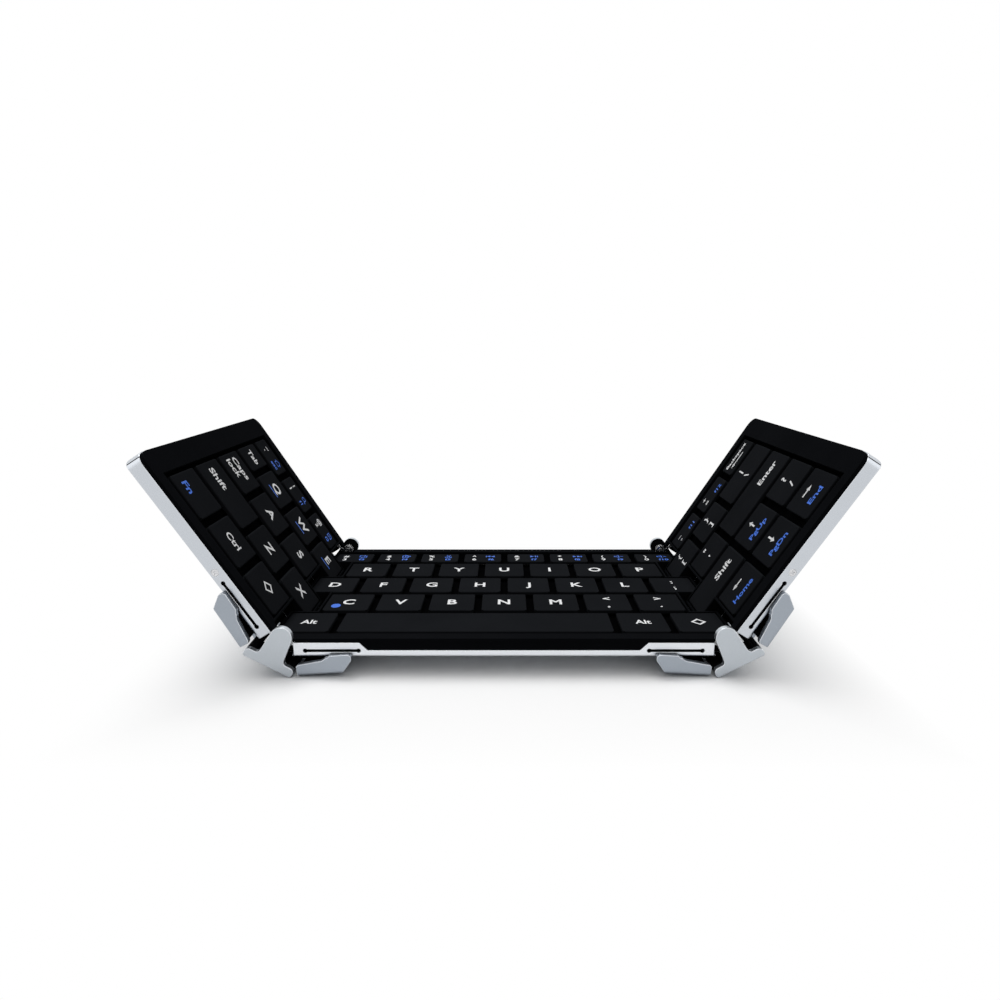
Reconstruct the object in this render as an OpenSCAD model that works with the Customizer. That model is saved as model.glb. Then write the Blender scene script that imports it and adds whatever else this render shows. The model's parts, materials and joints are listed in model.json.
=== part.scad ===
// Folding keyboard in three panels, drawn half open, as it stands on the spines
// of its two hinges. +X is to the right, +Y away from the typist, +Z up.
// Millimetres, with the origin on the ground at the middle of the keyboard.

/* [Keys] */
// distance between the centres of two letter keys in a row
key_pitch = 16.65; // [15.5:0.05:18]
// distance between the centres of two rows
row_pitch = 16.6; // [15.5:0.05:18]
// front to back size of the keys in the row of figures
top_row_d = 9.9; // [8:0.1:13]
// clear gap between two key tops
key_gap = 2.4; // [2:0.1:3.4]
// how far a key goes down
key_travel = 1.0; // [0.6:0.05:1.1]
// height of a key cap, from skirt to top
cap_h = 1.2; // [1.0:0.05:1.4]
// corner radius of a key cap, seen from above
cap_r = 1.2; // [0.5:0.1:2]

/* [Panels] */
// thickness of the metal tray, from its outer face to its rim
tray_h = 4.35; // [4.1:0.05:5]
// depth of the line where the rim lies, below the fold line
rim_drop = 1.6; // [1.2:0.1:1.7]
// how far the black frame stands above the metal rim
frame_h = 1.15; // [0.6:0.05:1.2]
// corner radius of a panel, seen from above
panel_r = 4.0; // [2:0.25:5]
// from the outer keys to the front and back faces
edge_margin = 6.0; // [5.9:0.1:8]
// clear gap between the ends of the two wings when folded
fold_gap = 1.4; // [0.8:0.1:3]
// clear gap along the zigzag seam between two panels
seam_gap = 0.5; // [0.4:0.05:0.7]
// wall of the metal tray
wall = 1.0; // [0.8:0.05:1.2]
// rounding along the outer edges of the tray
edge_r = 0.9; // [0.5:0.1:1.5]
// length of the finger notch in the front edge, at its foot
notch_w = 77; // [50:1:90]
// how far the rim steps down in the finger notch
notch_drop = 2.3; // [1.2:0.1:2.6]

/* [Hinges] */
// how far each wing is raised, from flat, in degrees
rest_angle = 58.5; // [45:0.5:75]
// radius of the round nose on the main axis
nose_r = 3.0; // [2.4:0.1:3.2]
// how far the nose's centre lies beyond the main axis, seen from the spine
nose_up = 1.0; // [0.5:0.1:1.2]
// how much wider the flange is at its foot than at the nose, on each side
flare = 0.7; // [0.3:0.1:0.8]
// thickness of the spine's long plate
spine_wall = 1.35; // [1.2:0.05:1.8]
// clear gap between the panels and the spine and brackets that swing round them
swing_gap = 0.35; // [0.3:0.05:0.6]
// thickness of the end flanges
flange_t = 1.7; // [1.3:0.05:2]
// clear gap between the flanges and the panels' end faces
flange_gap = 0.35; // [0.3:0.05:0.5]
// radius of the knuckles of the two side hinges
knuckle_r = 1.35; // [1.3:0.05:1.6]
// radius of the two steel rods
rod_r = 0.7; // [0.5:0.05:0.8]
// radius of the main pivot pins
pin_r = 0.9; // [0.7:0.05:1.1]
// outer radius of the rings on the main pivot pins
ring_r = 1.85; // [1.6:0.05:1.95]
// length of a bracket from its rod to its far end
bracket_len = 18.2; // [15:0.1:19]
// thickness of the bracket's cover plate
bracket_t = 1.2; // [1.1:0.05:1.5]
// height of a bracket's flanges at their far end
bracket_h = 5.7; // [5.2:0.1:5.8]
// rounding along the front and back edges of a bracket
bracket_r = 1.0; // [0.4:0.1:1.1]
// how far a bracket tilts from its panel when laid flat, in degrees
bracket_tilt = 5; // [3:0.5:5]
// from the main axis to the outer end of the guide slots
slot_end = 22; // [18:0.5:24]
// half the height of a guide slot
slot_r = 0.42; // [0.3:0.02:0.5]
// radius of the round holes at the ends of a guide slot
slot_hole_r = 0.65; // [0.5:0.05:0.7]

/* [Inside] */
// length of the battery in the left wing
battery_l = 62; // [40:1:70]
// length of the circuit board in the right wing
board_l = 56; // [40:1:70]
// width of the ribbon cable through each hinge
ribbon_w = 10; // [6:0.5:11]

/* [Hidden] */
$fn = 48;

tray_color = [0.78, 0.80, 0.83];
black = [0.06, 0.06, 0.07];
cover_color = [0.58, 0.58, 0.60];
steel_color = [0.70, 0.71, 0.73];

// rows, from the front: centre of each row and where the seam steps between rows
key_d = row_pitch - 2.2;
front_part = 2 * row_pitch + key_d / 2 + edge_margin;
back_part = row_pitch + key_d / 2 + key_gap + top_row_d + edge_margin;
depth = front_part + back_part;
half_d = depth / 2;
row3_y = (front_part - back_part) / 2;
row_y = [row3_y - 2 * row_pitch, row3_y - row_pitch, row3_y, row3_y + row_pitch,
         row3_y + row_pitch + (key_d + top_row_d) / 2 + key_gap];
// the strip in front of and behind the wells, where the main pivots sit
strip = 3.2;
step_y = [-half_d + strip, row3_y - 1.5 * row_pitch, row3_y - 0.5 * row_pitch,
          row3_y + 0.5 * row_pitch, row3_y + 1.5 * row_pitch, half_d - strip];
well_y = half_d - edge_margin + 1.95;

// across: the seams zigzag by a quarter of a key about the fold lines
axis_x = 3.75 * key_pitch;
zig = 0.25 * key_pitch;
well_x = 7 * key_pitch + 0.2;
wing_end = 7.5 * key_pitch - fold_gap / 2;
seam_wall = 0.6;

// heights in a panel, from the fold line down
rim_z = -rim_drop;
bottom_z = rim_z - tray_h;
floor_z = bottom_z + 0.8;
frame_z = rim_z + frame_h;
cap_z = frame_z - 0.2;
skirt_z = cap_z - cap_h;
plate_z = skirt_z - key_travel - 0.05;
plate_t = 0.6;
sheet_z = plate_z - plate_t;
sheet_t = 0.25;
// where the ribbons pass through the trays' bottoms, from the fold line
ribbon_in = 3.9;
ribbon_out = zig + seam_gap / 2 + seam_wall + 0.75;
slot_z = rim_z - 0.55 * tray_h;

// hinge: the rods lie near the outer corners of the spine
sweep = sqrt(pow(zig, 2) + pow(bottom_z, 2));
lining = max(sweep, -bottom_z + 2 * knuckle_r - spine_wall) + swing_gap;
spine_h = lining + spine_wall;
spine_b = -bottom_z + swing_gap + bracket_t - 0.1;
rod_x = spine_b - knuckle_r;
rod_z = spine_h - knuckle_r;
bracket_z = -knuckle_r - 0.1;
spine_turn = rest_angle / 2;
rest_tilt = bracket_tilt * (1 - rest_angle / 180);
axis_z = spine_h * cos(spine_turn) + (spine_b - 0.5) * sin(spine_turn);
flange_y = half_d + flange_gap;
hinge_y = flange_y + flange_t;
end_knuckle = hinge_y / 10;
mid_knuckle = (2 * hinge_y - 2 * end_knuckle * 2) / 5;
// the seven knuckles along a rod; the odd ones belong to the spine
knuckle_y = [-hinge_y, -hinge_y + 2 * end_knuckle,
  for (i = [1:5]) -hinge_y + 2 * end_knuckle + i * mid_knuckle, hinge_y];

// Places
module centre_place() { translate([0, 0, axis_z]) children(); }
// side is -1 for the left hinge and 1 for the right one
module turned(side, angle) {
  translate([side * axis_x, 0, axis_z]) rotate([0, -side * angle, 0]) children();
}
module wing_place(side) {
  turned(side, rest_angle) translate([-side * axis_x, 0, 0]) children();
}
// the shapes of a hinge are drawn for the left one; the right one is its mirror image
module hinge_place(side) {
  mirror([side > 0 ? 1 : 0, 0, 0]) turned(-1, spine_turn) children();
}
// in front of and behind the keyboard alike
module both_ends() { children(); mirror([0, 1, 0]) children(); }

// Outlines
module rounded(w, d, r) {
  union() {
    square([w - 2 * r, d], center = true);
    square([w, d - 2 * r], center = true);
    for (x = [-1, 1], y = [-1, 1])
      translate([x * (w / 2 - r), y * (d / 2 - r)]) circle(r = r);
  }
}
module box2(x0, x1, y0, y1) { translate([x0, y0]) square([x1 - x0, y1 - y0]); }

// middle panel drawn in by s along the seams and by t in front and behind
module centre_outline(s, t) {
  e = seam_gap / 2 + s;
  box2(-axis_x + zig + e, axis_x - zig - e, -half_d + t, half_d - t);
  for (i = [0, 2, 4])
    box2(-axis_x - zig + e, axis_x + zig - e, step_y[i] + e, step_y[i + 1] - e);
}
// right wing drawn in by s along the seam and by t on the other sides
module wing_outline(s, t) {
  e = seam_gap / 2 + s;
  r = max(panel_r - t, 0.5);
  box2(axis_x + zig + e, wing_end - t - r, -half_d + t, half_d - t);
  translate([wing_end - t - r, 0]) {
    box2(-1, r, -half_d + t + r, half_d - t - r);
    for (y = [-1, 1]) translate([0, y * (half_d - t - r)]) circle(r = r);
  }
  for (i = [1, 3])
    box2(axis_x - zig + e, axis_x + zig + e + 1, step_y[i] + e, step_y[i + 1] - e);
}
// the ends of the panels beside the fold line, with the tapered notch for the rings
module centre_ends() {
  for (x = [-1, 1], y = [-1, 1]) scale([x, y])
    polygon([[axis_x - zig - 1, half_d], [axis_x - 3, half_d], [axis_x - 2.3, step_y[5]],
      [axis_x - 2.3, step_y[5] - 1], [axis_x - zig - 1, step_y[5] - 1]]);
}
module wing_ends() {
  for (y = [-1, 1]) scale([1, y])
    polygon([[axis_x + 3, half_d], [axis_x + zig + 1, half_d],
      [axis_x + zig + 1, step_y[5] + seam_gap / 2], [axis_x + 2.3, step_y[5] + seam_gap / 2]]);
}
module centre_plan() { centre_outline(0, 0); centre_ends(); }
module wing_plan() { wing_outline(0, 0); wing_ends(); }

module centre_well(s) {
  intersection() {
    centre_outline(seam_wall - s, 0);
    square([3 * axis_x, 2 * (well_y + s)], center = true);
  }
}
module wing_well(s) {
  intersection() {
    wing_outline(seam_wall - s, 0);
    box2(0, well_x + s, -well_y - s, well_y + s);
  }
}

// Key layout, in keys across from the middle
// lays its children once for each key of the widths in list, from place x on
module each_key(x, list) {
  for (i = [0:len(list) - 1]) {
    before = i == 0 ? 0 : sum_to(list, i - 1);
    $key_w = list[i] * key_pitch - key_gap;
    translate([(x + before + list[i] / 2) * key_pitch, 0]) children();
  }
}
function sum_to(list, i) = i == 0 ? list[0] : list[i] + sum_to(list, i - 1);
function key_deep(row) = row == 4 ? top_row_d : key_d;

left_rows = [[-7, [1, 1, 1]], [-7, [1.5, 1, 1]], [-7, [1, 1, 1]],
             [-7, [0.68, 0.94, 0.94, 0.94]], [-7, [1, 1, 1]]];
centre_rows = [[-4, [1, 5, 1, 1]], [-3.5, [1, 1, 1, 1, 1, 1, 1]],
               [-4, [1, 1, 1, 1, 1, 1, 1, 1]], [-3.5, [1, 1, 1, 1, 1, 1, 1]],
               [-4, [1, 1, 1, 1, 1, 1, 1, 1]]];
right_rows = [[4, [1, 1, 1]], [3.5, [1.5, 1, 1]], [4, [1, 2]],
              [3.5, [1, 1, 1.5]], [4, [1, 1, 1]]];

module each_row(rows) {
  for (r = [0:4]) translate([0, row_y[r]]) each_key(rows[r][0], rows[r][1]) children();
}
// two guide legs near the ends of a key
module leg_spots() { for (s = [-1, 1]) translate([s * ($key_w / 2 - 1.3), 0]) children(); }

// Keys
module cap(w, d) {
  t = 0.75;
  difference() {
    intersection() {
      translate([0, 0, skirt_z]) linear_extrude(cap_h) rounded(w, d, cap_r);
      rotate([90, 0, 0]) linear_extrude(d + 2, center = true) cap_profile(w);
      rotate([90, 0, 90]) linear_extrude(w + 2, center = true) cap_profile(d);
    }
    translate([-w / 2 + 0.8, -d / 2 + 0.8, skirt_z - 1])
      cube([w - 1.6, d - 1.6, cap_h - t + 1]);
  }
  for (s = [-1, 1]) translate([s * (w / 2 - 1.3), 0, sheet_z + 0.05])
    cylinder(r = 0.6, h = cap_z - t - sheet_z + 0.2, $fn = 24);
}
// side view of a cap with softened upper edges
module cap_profile(w) {
  polygon([[-w / 2, skirt_z - 1], [w / 2, skirt_z - 1], [w / 2, cap_z - 0.35],
    [w / 2 - 0.1, cap_z - 0.12], [w / 2 - 0.35, cap_z],
    [-w / 2 + 0.35, cap_z], [-w / 2 + 0.1, cap_z - 0.12], [-w / 2, cap_z - 0.35]]);
}
// the keys from number a to number b of one row
module key_run(rows, r, a, b) {
  list = rows[r][1];
  for (i = [a:b]) {
    before = i == 0 ? 0 : sum_to(list, i - 1);
    translate([(rows[r][0] + before + list[i] / 2) * key_pitch, row_y[r], 0])
      cap(list[i] * key_pitch - key_gap, key_deep(r));
  }
}
module left_keys(r, a, b) { color(black) wing_place(-1) key_run(left_rows, r, a, b); }
module centre_keys(r, a, b) { color(black) centre_place() key_run(centre_rows, r, a, b); }
module right_keys(r, a, b) { color(black) wing_place(1) key_run(right_rows, r, a, b); }

module keys_grave_to_2() { left_keys(4, 0, 2); }
module key_tab() { left_keys(3, 0, 0); }
module keys_q_to_e() { left_keys(3, 1, 3); }
module key_caps_lock() { left_keys(2, 0, 0); }
module keys_a_s() { left_keys(2, 1, 2); }
module key_left_shift() { left_keys(1, 0, 0); }
module keys_z_x() { left_keys(1, 1, 2); }
module keys_left_bottom() { left_keys(0, 0, 2); }
module keys_3_to_0() { centre_keys(4, 0, 7); }
module keys_r_to_p() { centre_keys(3, 0, 6); }
module keys_d_to_semicolon() { centre_keys(2, 0, 7); }
module keys_c_to_period() { centre_keys(1, 0, 6); }
module key_space() { centre_keys(0, 1, 1); }
module keys_alt() { centre_keys(0, 0, 0); centre_keys(0, 2, 3); }
module keys_minus_equal() { right_keys(4, 0, 1); }
module key_backspace() { right_keys(4, 2, 2); }
module keys_brackets() { right_keys(3, 0, 1); }
module key_backslash() { right_keys(3, 2, 2); }
module key_quote() { right_keys(2, 0, 0); }
module key_enter() { right_keys(2, 1, 1); }
module key_slash() { right_keys(1, 0, 0); }
module key_page_up() { right_keys(1, 1, 1); }
module key_right_shift() { right_keys(1, 2, 2); }
module keys_right_bottom() { right_keys(0, 0, 2); }

// Panels
// half section of a panel with a rounded lower edge at x, seen along that edge
module edge_side(x) {
  box2(-1, x - edge_r, bottom_z - 1, 1);
  box2(-1, x, bottom_z + edge_r, 1);
  translate([x - edge_r, bottom_z + edge_r]) circle(r = edge_r);
}
// keeps what is inside the rounded front and back edges of a panel
module long_edges() {
  rotate([90, 0, 90]) linear_extrude(4 * wing_end, center = true)
    for (m = [0, 1]) mirror([m, 0]) edge_side(half_d);
}
// long guide slots in the end faces, where the brackets' far ends slide
module slots(dir) {
  slot_to = slot_end - slot_hole_r;
  for (y = [-1, 1]) translate([axis_x, y * half_d, slot_z]) rotate([90, 0, 0])
    linear_extrude(2 * wall + 0.6, center = true) {
      box2(dir > 0 ? 6.3 : -slot_to, dir > 0 ? slot_to : -6.3, -slot_r, slot_r);
      for (x = [6.3, slot_to]) translate([dir * x, 0]) circle(r = slot_hole_r, $fn = 24);
    }
}
// pockets for the blocks that carry the pivot rings, dir is 1 towards the wing
module ring_pockets(dir) {
  both_ends() translate([axis_x + dir * 4.65, half_d - 1.95, rim_z - 0.5])
    cube([4.9, 2.5, 1.2], center = true);
}
module tray(dir) {
  difference() {
    intersection() {
      translate([0, 0, bottom_z]) linear_extrude(tray_h) children(0);
      long_edges();
    }
    translate([0, 0, floor_z]) linear_extrude(tray_h) children(1);
    // the ribbon cables come in through the bottom
    for (x = dir == 0 ? [-1, 1] : [1]) scale([x, 1, 1])
      translate([axis_x + (dir == 0 ? -ribbon_in : ribbon_out), row_y[2], bottom_z])
        cube([1.2, ribbon_w + 1, 4], center = true);
  }
}
// cross ribs that carry the key plate, under the gaps between the rows
module ribs(x0, x1) {
  for (i = [1:4]) translate([x0, step_y[i] - 0.5, floor_z - 0.1])
    cube([x1 - x0, 1, sheet_z - sheet_t - floor_z + 0.08]);
}

module notch_side(z0) {
  w = notch_w / 2;
  polygon([[-w, z0], [w, z0], [w + 5, z0 + 5], [-w - 5, z0 + 5]]);
}
module centre_tray() {
  color(tray_color) centre_place() {
    difference() {
      tray(0) {
        centre_plan();
        centre_outline(seam_wall, wall);
      }
      for (x = [-1, 1]) scale([x, 1, 1]) {
        slots(-1);
        ring_pockets(-1);
      }
      translate([0, -half_d + 0.45, 0]) rotate([90, 0, 0])
        linear_extrude(1.3, center = true) notch_side(rim_z - notch_drop);
    }
    ribs(-axis_x + zig + 1, axis_x - zig - 1);
  }
}
module right_half_tray() {
  difference() {
    intersection() {
      tray(1) {
        wing_plan();
        wing_outline(seam_wall, wall);
      }
      rotate([90, 0, 0]) linear_extrude(4 * half_d, center = true) edge_side(wing_end);
    }
    slots(1);
    ring_pockets(1);
    translate([axis_x + 25, -half_d, slot_z]) rotate([90, 0, 0])
      cylinder(r = 1.05, h = 4, center = true, $fn = 24);
  }
  ribs(axis_x + zig + 1, well_x + 0.4);
}
module left_tray() {
  color(tray_color) wing_place(-1) mirror([1, 0, 0]) right_half_tray();
}
module right_tray() {
  color(tray_color) wing_place(1) difference() {
    right_half_tray();
    translate([wing_end, 0, floor_z + 0.65 + 1.35]) cube([8, 7.8, 2.7], center = true);
  }
}

module edge_screw() {
  difference() {
    translate([axis_x + 25, -half_d + 0.05, slot_z]) rotate([-90, 0, 0])
      cylinder(r = 1, h = 1.9, $fn = 24);
    for (a = [45, 135]) translate([axis_x + 25, -half_d, slot_z]) rotate([0, a, 0])
      cube([1.3, 0.8, 0.32], center = true);
  }
  translate([axis_x + 25, -half_d + wall + 0.02, slot_z]) rotate([-90, 0, 0])
    cylinder(r = 1.15, h = 0.9, $fn = 24);
}
module left_edge_screw() { color(steel_color) wing_place(-1) mirror([1, 0, 0]) edge_screw(); }
module right_edge_screw() { color(steel_color) wing_place(1) edge_screw(); }

// black frame round a well: a flat rim over the tray and a wall down to the key plate
module frame() {
  translate([0, 0, rim_z]) linear_extrude(frame_h) difference() {
    children(0);
    children(1);
  }
  translate([0, 0, plate_z]) linear_extrude(rim_z - plate_z + 0.1) difference() {
    intersection() {
      children(2);
      children(3);
    }
    children(1);
  }
}
module centre_frame() {
  color(black) centre_place() {
    difference() {
      frame() {
        difference() {
          union() { centre_outline(0, 0.25); centre_ends(); }
          for (y = [-1, 1]) translate([0, y * (half_d + 0.75)])
            square([3 * axis_x, 2], center = true);
        }
        centre_well(0);
        centre_well(0.8);
        centre_outline(seam_wall + 0.1, wall + 0.1);
      }
      translate([0, -half_d, rim_z]) rotate([90, 0, 0])
        linear_extrude(2.4, center = true) notch_side(-notch_drop);
    }
    // the frame turns down behind the finger notch
    translate([0, -half_d + 1.2, rim_z]) rotate([90, 0, 0]) linear_extrude(0.8)
      translate([0, 0]) intersection() {
        notch_side(-notch_drop);
        box2(-100, 100, -notch_drop, frame_h);
      }
  }
}
module right_half_frame() {
  frame() {
    difference() {
      union() { wing_outline(0, 0.25); wing_ends(); }
      for (y = [-1, 1]) translate([axis_x, y * (half_d + 0.75)])
        square([3 * axis_x, 2], center = true);
    }
    wing_well(0);
    wing_well(0.8);
    wing_outline(seam_wall + 0.1, wall + 0.1);
  }
}
module left_frame() { color(black) wing_place(-1) mirror([1, 0, 0]) right_half_frame(); }
module right_frame() { color(black) wing_place(1) right_half_frame(); }

// floor of a well, with a hole for each dome and each guide leg
module key_plate(rows) {
  translate([0, 0, sheet_z]) linear_extrude(plate_t) difference() {
    children();
    each_row(rows) {
      circle(r = 2.5, $fn = 24);
      leg_spots() circle(r = 0.68, $fn = 24);
    }
  }
}
// rubber sheet with a dome under each key
module domes(rows) {
  translate([0, 0, sheet_z - sheet_t]) {
    linear_extrude(sheet_t) difference() {
      children();
      each_row(rows) leg_spots() circle(r = 0.85, $fn = 24);
    }
    each_row(rows) translate([0, 0, 0.1])
      cylinder(r1 = 2.2, r2 = 1.4, h = cap_z - 0.9 - sheet_z + sheet_t, $fn = 24);
  }
}
module centre_inside(s) {
  intersection() {
    centre_outline(seam_wall + s, wall + s);
    square([3 * axis_x, 2 * (well_y + 0.85 - s)], center = true);
  }
}
module wing_inside(s) {
  intersection() {
    wing_outline(seam_wall + s, wall + s);
    box2(0, well_x + 0.85 - s, -well_y - 0.85 + s, well_y + 0.85 - s);
  }
}
module centre_key_plate() {
  color(black) centre_place() key_plate(centre_rows) centre_inside(0.1);
}
module left_key_plate() {
  color(black) wing_place(-1) key_plate(left_rows) mirror([1, 0]) wing_inside(0.1);
}
module right_key_plate() { color(black) wing_place(1) key_plate(right_rows) wing_inside(0.1); }
module centre_domes() {
  color([0.75, 0.75, 0.72]) centre_place() domes(centre_rows) centre_inside(0.4);
}
module left_domes() {
  color([0.75, 0.75, 0.72]) wing_place(-1) domes(left_rows) mirror([1, 0]) wing_inside(0.4);
}
module right_domes() {
  color([0.75, 0.75, 0.72]) wing_place(1) domes(right_rows) wing_inside(0.4);
}

// Electronics, in the outer margins of the wings
margin_mid = (well_x + 0.95 + wing_end - wall) / 2;
margin_w = wing_end - wall - well_x - 0.95;
module battery() {
  color([0.72, 0.74, 0.78]) wing_place(-1)
    translate([-margin_mid, 0, floor_z + 0.05]) {
      translate([-margin_w / 2 + 0.25, -battery_l / 2, 0]) cube([margin_w - 0.5, battery_l, 2.4]);
    }
}
module main_board() {
  color([0.10, 0.35, 0.18]) wing_place(1)
    translate([margin_mid, 0, floor_z + 0.05]) {
      translate([-margin_w / 2 + 0.2, -board_l / 2, 0]) cube([margin_w - 0.4, board_l, 0.6]);
      translate([-1.6, 10, 0.5]) cube([3.2, 3.2, 0.9]);
      translate([-1.2, 18, 0.5]) cube([2.4, 5, 0.8]);
      translate([-1.2, -20, 0.5]) cube([2.4, 3.4, 0.7]);
    }
}
module usb_socket() {
  color(steel_color) wing_place(1) translate([wing_end - 0.3, 0, floor_z + 0.65])
    difference() {
      translate([-5.2, -3.75, 0]) cube([5.2, 7.5, 2.55]);
      translate([-4.6, -3.4, 0.35]) cube([5.2, 6.8, 1.85]);
    }
}

// ---- hinges, drawn for the left one in the spine's own frame: the main axis along Y
// through the origin, the middle panel towards +X, the spine's outer face below ----
module flange_side() {
  foot = nose_r + flare;
  top = -rod_z + knuckle_r;
  fillet = 1;
  translate([0, nose_up]) circle(r = nose_r);
  polygon([[-nose_r, nose_up], [nose_r, nose_up], [foot, top - 0.1], [-foot, top - 0.1]]);
  // concave shoulders between the stem and the foot
  difference() {
    box2(-foot - fillet, foot + fillet, top - 0.2, top + fillet);
    for (x = [-1, 1]) translate([x * (foot + fillet), top + fillet]) circle(r = fillet);
  }
  box2(-rod_x, rod_x, -spine_h, top);
  for (x = [-1, 1]) translate([x * rod_x, -rod_z]) circle(r = knuckle_r);
  foot_side(spine_b);
}
// section of the spine's plate, with a small bevel at its outer corners
module foot_side(b) {
  polygon([[-b, -rod_z], [-b, -spine_h + 0.5], [-b + 0.5, -spine_h],
    [b - 0.5, -spine_h], [b, -spine_h + 0.5], [b, -rod_z], [rod_x, -lining],
    [-rod_x, -lining]]);
}
module along(y0, y1) {
  translate([0, y1, 0]) rotate([90, 0, 0]) linear_extrude(y1 - y0) children();
}
// section of the spine between the flanges, with or without its own knuckles
module spine_section(full) {
  if (full) {
    foot_side(spine_b);
    for (x = [-1, 1]) translate([x * rod_x, -rod_z]) circle(r = knuckle_r);
  } else {
    b = rod_x - knuckle_r - 0.4;
    box2(-b, b, -spine_h, -lining);
  }
}
module spine() {
  difference() {
    union() {
      both_ends() along(flange_y, hinge_y) flange_side();
      along(-hinge_y + 0.5, hinge_y - 0.5) spine_section(false);
      for (i = [0:2:6])
        along(max(knuckle_y[i], -hinge_y + 0.5), min(knuckle_y[i + 1], hinge_y - 0.5))
          spine_section(true);
    }
    for (x = [-1, 1]) translate([x * rod_x, 0, -rod_z]) rotate([90, 0, 0])
      cylinder(r = rod_r + 0.03, h = 2 * hinge_y - 1.6, center = true, $fn = 32);
    both_ends() translate([0, hinge_y - 0.7, 0]) rotate([90, 0, 0])
      cylinder(r = pin_r + 0.03, h = 6, $fn = 32);
  }
}
module hinge_rods() {
  for (x = [-1, 1]) translate([x * rod_x, 0, -rod_z]) rotate([90, 0, 0])
    cylinder(r = rod_r, h = 2 * hinge_y - 1.8, center = true, $fn = 32);
}
module pivot_pins() {
  both_ends() translate([0, hinge_y - 0.8, 0]) rotate([90, 0, 0])
    cylinder(r = pin_r, h = hinge_y - 0.8 - (half_d - strip + 0.1), $fn = 32);
}
// rings on a pin, each with an arm into the pocket of its panel; dir is 1 towards -X
ring_y = [half_d - 0.75, half_d - 1.55, half_d - 2.35];
module ring_arm(y) {
  difference() {
    union() {
      translate([0, y, 0]) rotate([90, 0, 0]) cylinder(r = ring_r, h = 0.7, $fn = 32);
      translate([0, y - 0.7, rim_z - 1]) cube([3.2, 0.7, 1]);
    }
    translate([0, y + 1, 0]) rotate([90, 0, 0]) cylinder(r = pin_r + 0.06, h = 3, $fn = 32);
  }
}
module centre_rings() {
  both_ends() {
    ring_arm(ring_y[0]);
    ring_arm(ring_y[2]);
    translate([2.6, ring_y[2] - 0.7, rim_z - 1]) cube([4.3, ring_y[0] - ring_y[2] + 0.7, 1]);
  }
}
module wing_rings() {
  both_ends() mirror([1, 0, 0]) {
    ring_arm(ring_y[1]);
    translate([2.6, ring_y[2] - 0.7, rim_z - 1]) cube([4.3, ring_y[0] - ring_y[2] + 0.7, 1]);
  }
}

// bracket: cover plate with flanged ends, its rod at the origin, its far end at +X
module bracket_side() {
  z0 = bracket_z;
  top = z0 + bracket_h;
  near = knuckle_r + 1.1;
  // where the folded flange's nose lies, and the gap that is left round it
  px = rod_z + nose_up;
  pz = rod_x;
  g = 0.4;
  hollow = nose_r + g;
  difference() {
    union() {
      polygon([[near, z0], [px + 1, z0], [px + 1, pz - hollow], [px, pz - hollow],
        [near + 0.5, pz - hollow - flare], [near, pz - hollow - flare - 0.5]]);
      box2(px + 0.4, bracket_len, z0, top);
    }
    translate([px, pz]) circle(r = hollow);
    // slanted shoulder beside the hollow, and the lower corner of the far end
    polygon([[px, top + 1], [px, top - 0.7], [px + hollow - 0.7, top - 0.7],
      [px + hollow + 0.3, top + 0.01], [px + hollow + 0.3, top + 1]]);
    polygon([[bracket_len - 3, z0 - 0.01], [bracket_len + 1, z0 - 0.01],
      [bracket_len + 1, z0 + 5.2]]);
    // rounded upper corner
    translate([bracket_len - 1, top - 1]) difference() {
      square(2);
      circle(r = 1, $fn = 32);
    }
  }
}
module bracket() {
  intersection() {
    difference() {
      union() {
        both_ends() along(flange_y, hinge_y) bracket_side();
        along(-hinge_y + 0.5, hinge_y - 0.5) intersection() {
          bracket_side();
          box2(0, 40, bracket_z, bracket_z + bracket_t);
        }
        for (i = [1, 3, 5]) along(knuckle_y[i] + 0.2, knuckle_y[i + 1] - 0.2) {
          circle(r = knuckle_r);
          box2(0, knuckle_r + 1.4, bracket_z + 0.1, bracket_z + bracket_t);
        }
      }
      rotate([90, 0, 0])
        cylinder(r = rod_r + 0.07, h = 3 * hinge_y, center = true, $fn = 32);
    }
    // rounded front and back edges
    rotate([90, 0, 90]) linear_extrude(6 * bracket_len, center = true)
      for (m = [0, 1]) mirror([m, 0]) {
        box2(-1, hinge_y - bracket_r, bracket_z - 1, 20);
        box2(-1, hinge_y, bracket_z + bracket_r, 20);
        translate([hinge_y - bracket_r, bracket_z + bracket_r]) circle(r = bracket_r);
      }
  }
}
module centre_bracket() {
  translate([rod_x, 0, -rod_z]) rotate([0, -spine_turn - rest_tilt, 0]) bracket();
}
// flat ribbon: a loop inside the spine with an end in each panel
module ribbon() {
  y = row_y[2] - ribbon_w / 2;
  t = 0.15;
  r = lining - 0.1;
  low = bottom_z - 0.1 - t;
  out = sqrt(pow(r, 2) - pow(low, 2));
  // where the loop ends, on the middle panel's side and on the wing's
  a = asin(ribbon_in / r) + rest_angle / 2;
  b = asin(out / r) + rest_angle / 2;
  along(y, y + ribbon_w) intersection() {
    difference() {
      circle(r = r);
      circle(r = r - t);
    }
    polygon([[0, 0], 30 * [sin(a), -cos(a)], [0, -60], 30 * [-sin(b), -cos(b)]]);
  }
  up = -sqrt(pow(r, 2) - pow(ribbon_in, 2));
  rotate([0, -rest_angle / 2, 0]) translate([ribbon_in - t, y, 0]) {
    translate([0, 0, up]) cube([t, ribbon_w, floor_z + 0.1 + t - up]);
    translate([0, 0, floor_z + 0.1]) cube([11, ribbon_w, t]);
  }
  mirror([1, 0, 0]) rotate([0, -rest_angle / 2, 0]) {
    translate([out - 0.1, y, low]) cube([ribbon_out - out + 0.1 + t / 2, ribbon_w, t]);
    translate([ribbon_out - t / 2, y, low]) cube([t, ribbon_w, floor_z + 0.1 + t - low]);
    translate([ribbon_out - t / 2, y, floor_z + 0.1]) cube([9, ribbon_w, t]);
  }
}

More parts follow.
